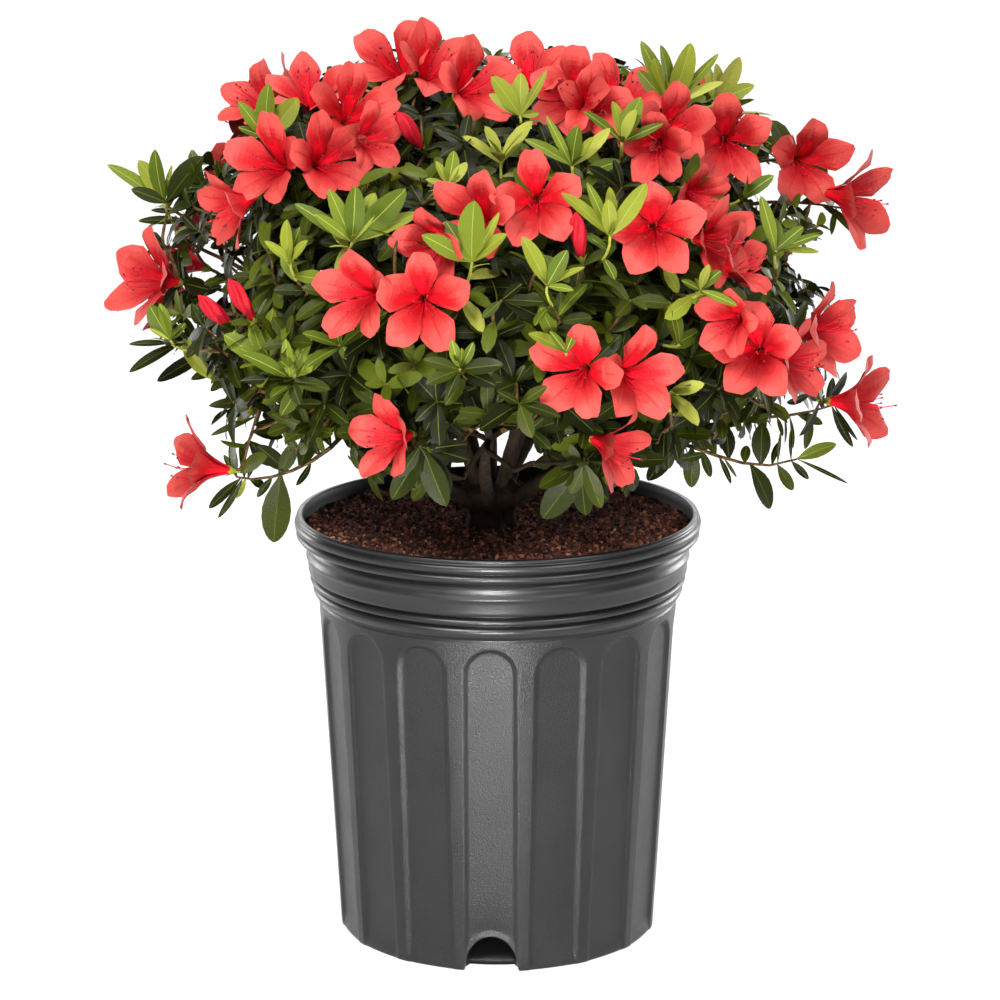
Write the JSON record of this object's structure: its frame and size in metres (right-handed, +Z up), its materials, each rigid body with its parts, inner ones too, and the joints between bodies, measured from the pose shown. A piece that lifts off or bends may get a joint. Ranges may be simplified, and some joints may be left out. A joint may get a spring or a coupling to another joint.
{
  "type": "azalea shrub",
  "caption": "Evergreen azalea shrub in full coral-red bloom, a rounded crown on a short forked trunk, in a round fluted nursery pot of potting mix.",
  "frame": {"origin": "centre of the flat underside of the pot", "axes": "+Z up the trunk; -Y is the side seen in the picture; +X is to its right"},
  "size_m": [0.4318, 0.4111, 0.529],
  "materials": {
    "pot": "satin, finely stippled",
    "potting_mix": "loose damp crumbs",
    "bark": "rough",
    "foliage": "glossy leaves, soft petals"
  },
  "bodies": {
    "root": {"nursery_pot": "pot", "potting_mix": "potting_mix", "trunk": "bark", "bough_lower_1": "bark", "bough_lower_2": "bark", "bough_lower_3": "bark", "bough_lower_4": "bark", "bough_lower_5": "bark", "bough_lower_6": "bark", "bough_lower_7": "bark", "bough_upper_1": "bark", "bough_upper_2": "bark", "bough_upper_3": "bark", "bough_upper_4": "bark", "bough_top": "bark", "foliage_lower_1": "foliage", "foliage_lower_2": "foliage", "foliage_lower_3": "foliage", "foliage_lower_4": "foliage", "foliage_lower_5": "foliage", "foliage_lower_6": "foliage", "foliage_lower_7": "foliage", "foliage_upper_1": "foliage", "foliage_upper_2": "foliage", "foliage_upper_3": "foliage", "foliage_upper_4": "foliage", "foliage_top": "foliage"}
  },
  "joints": []
}
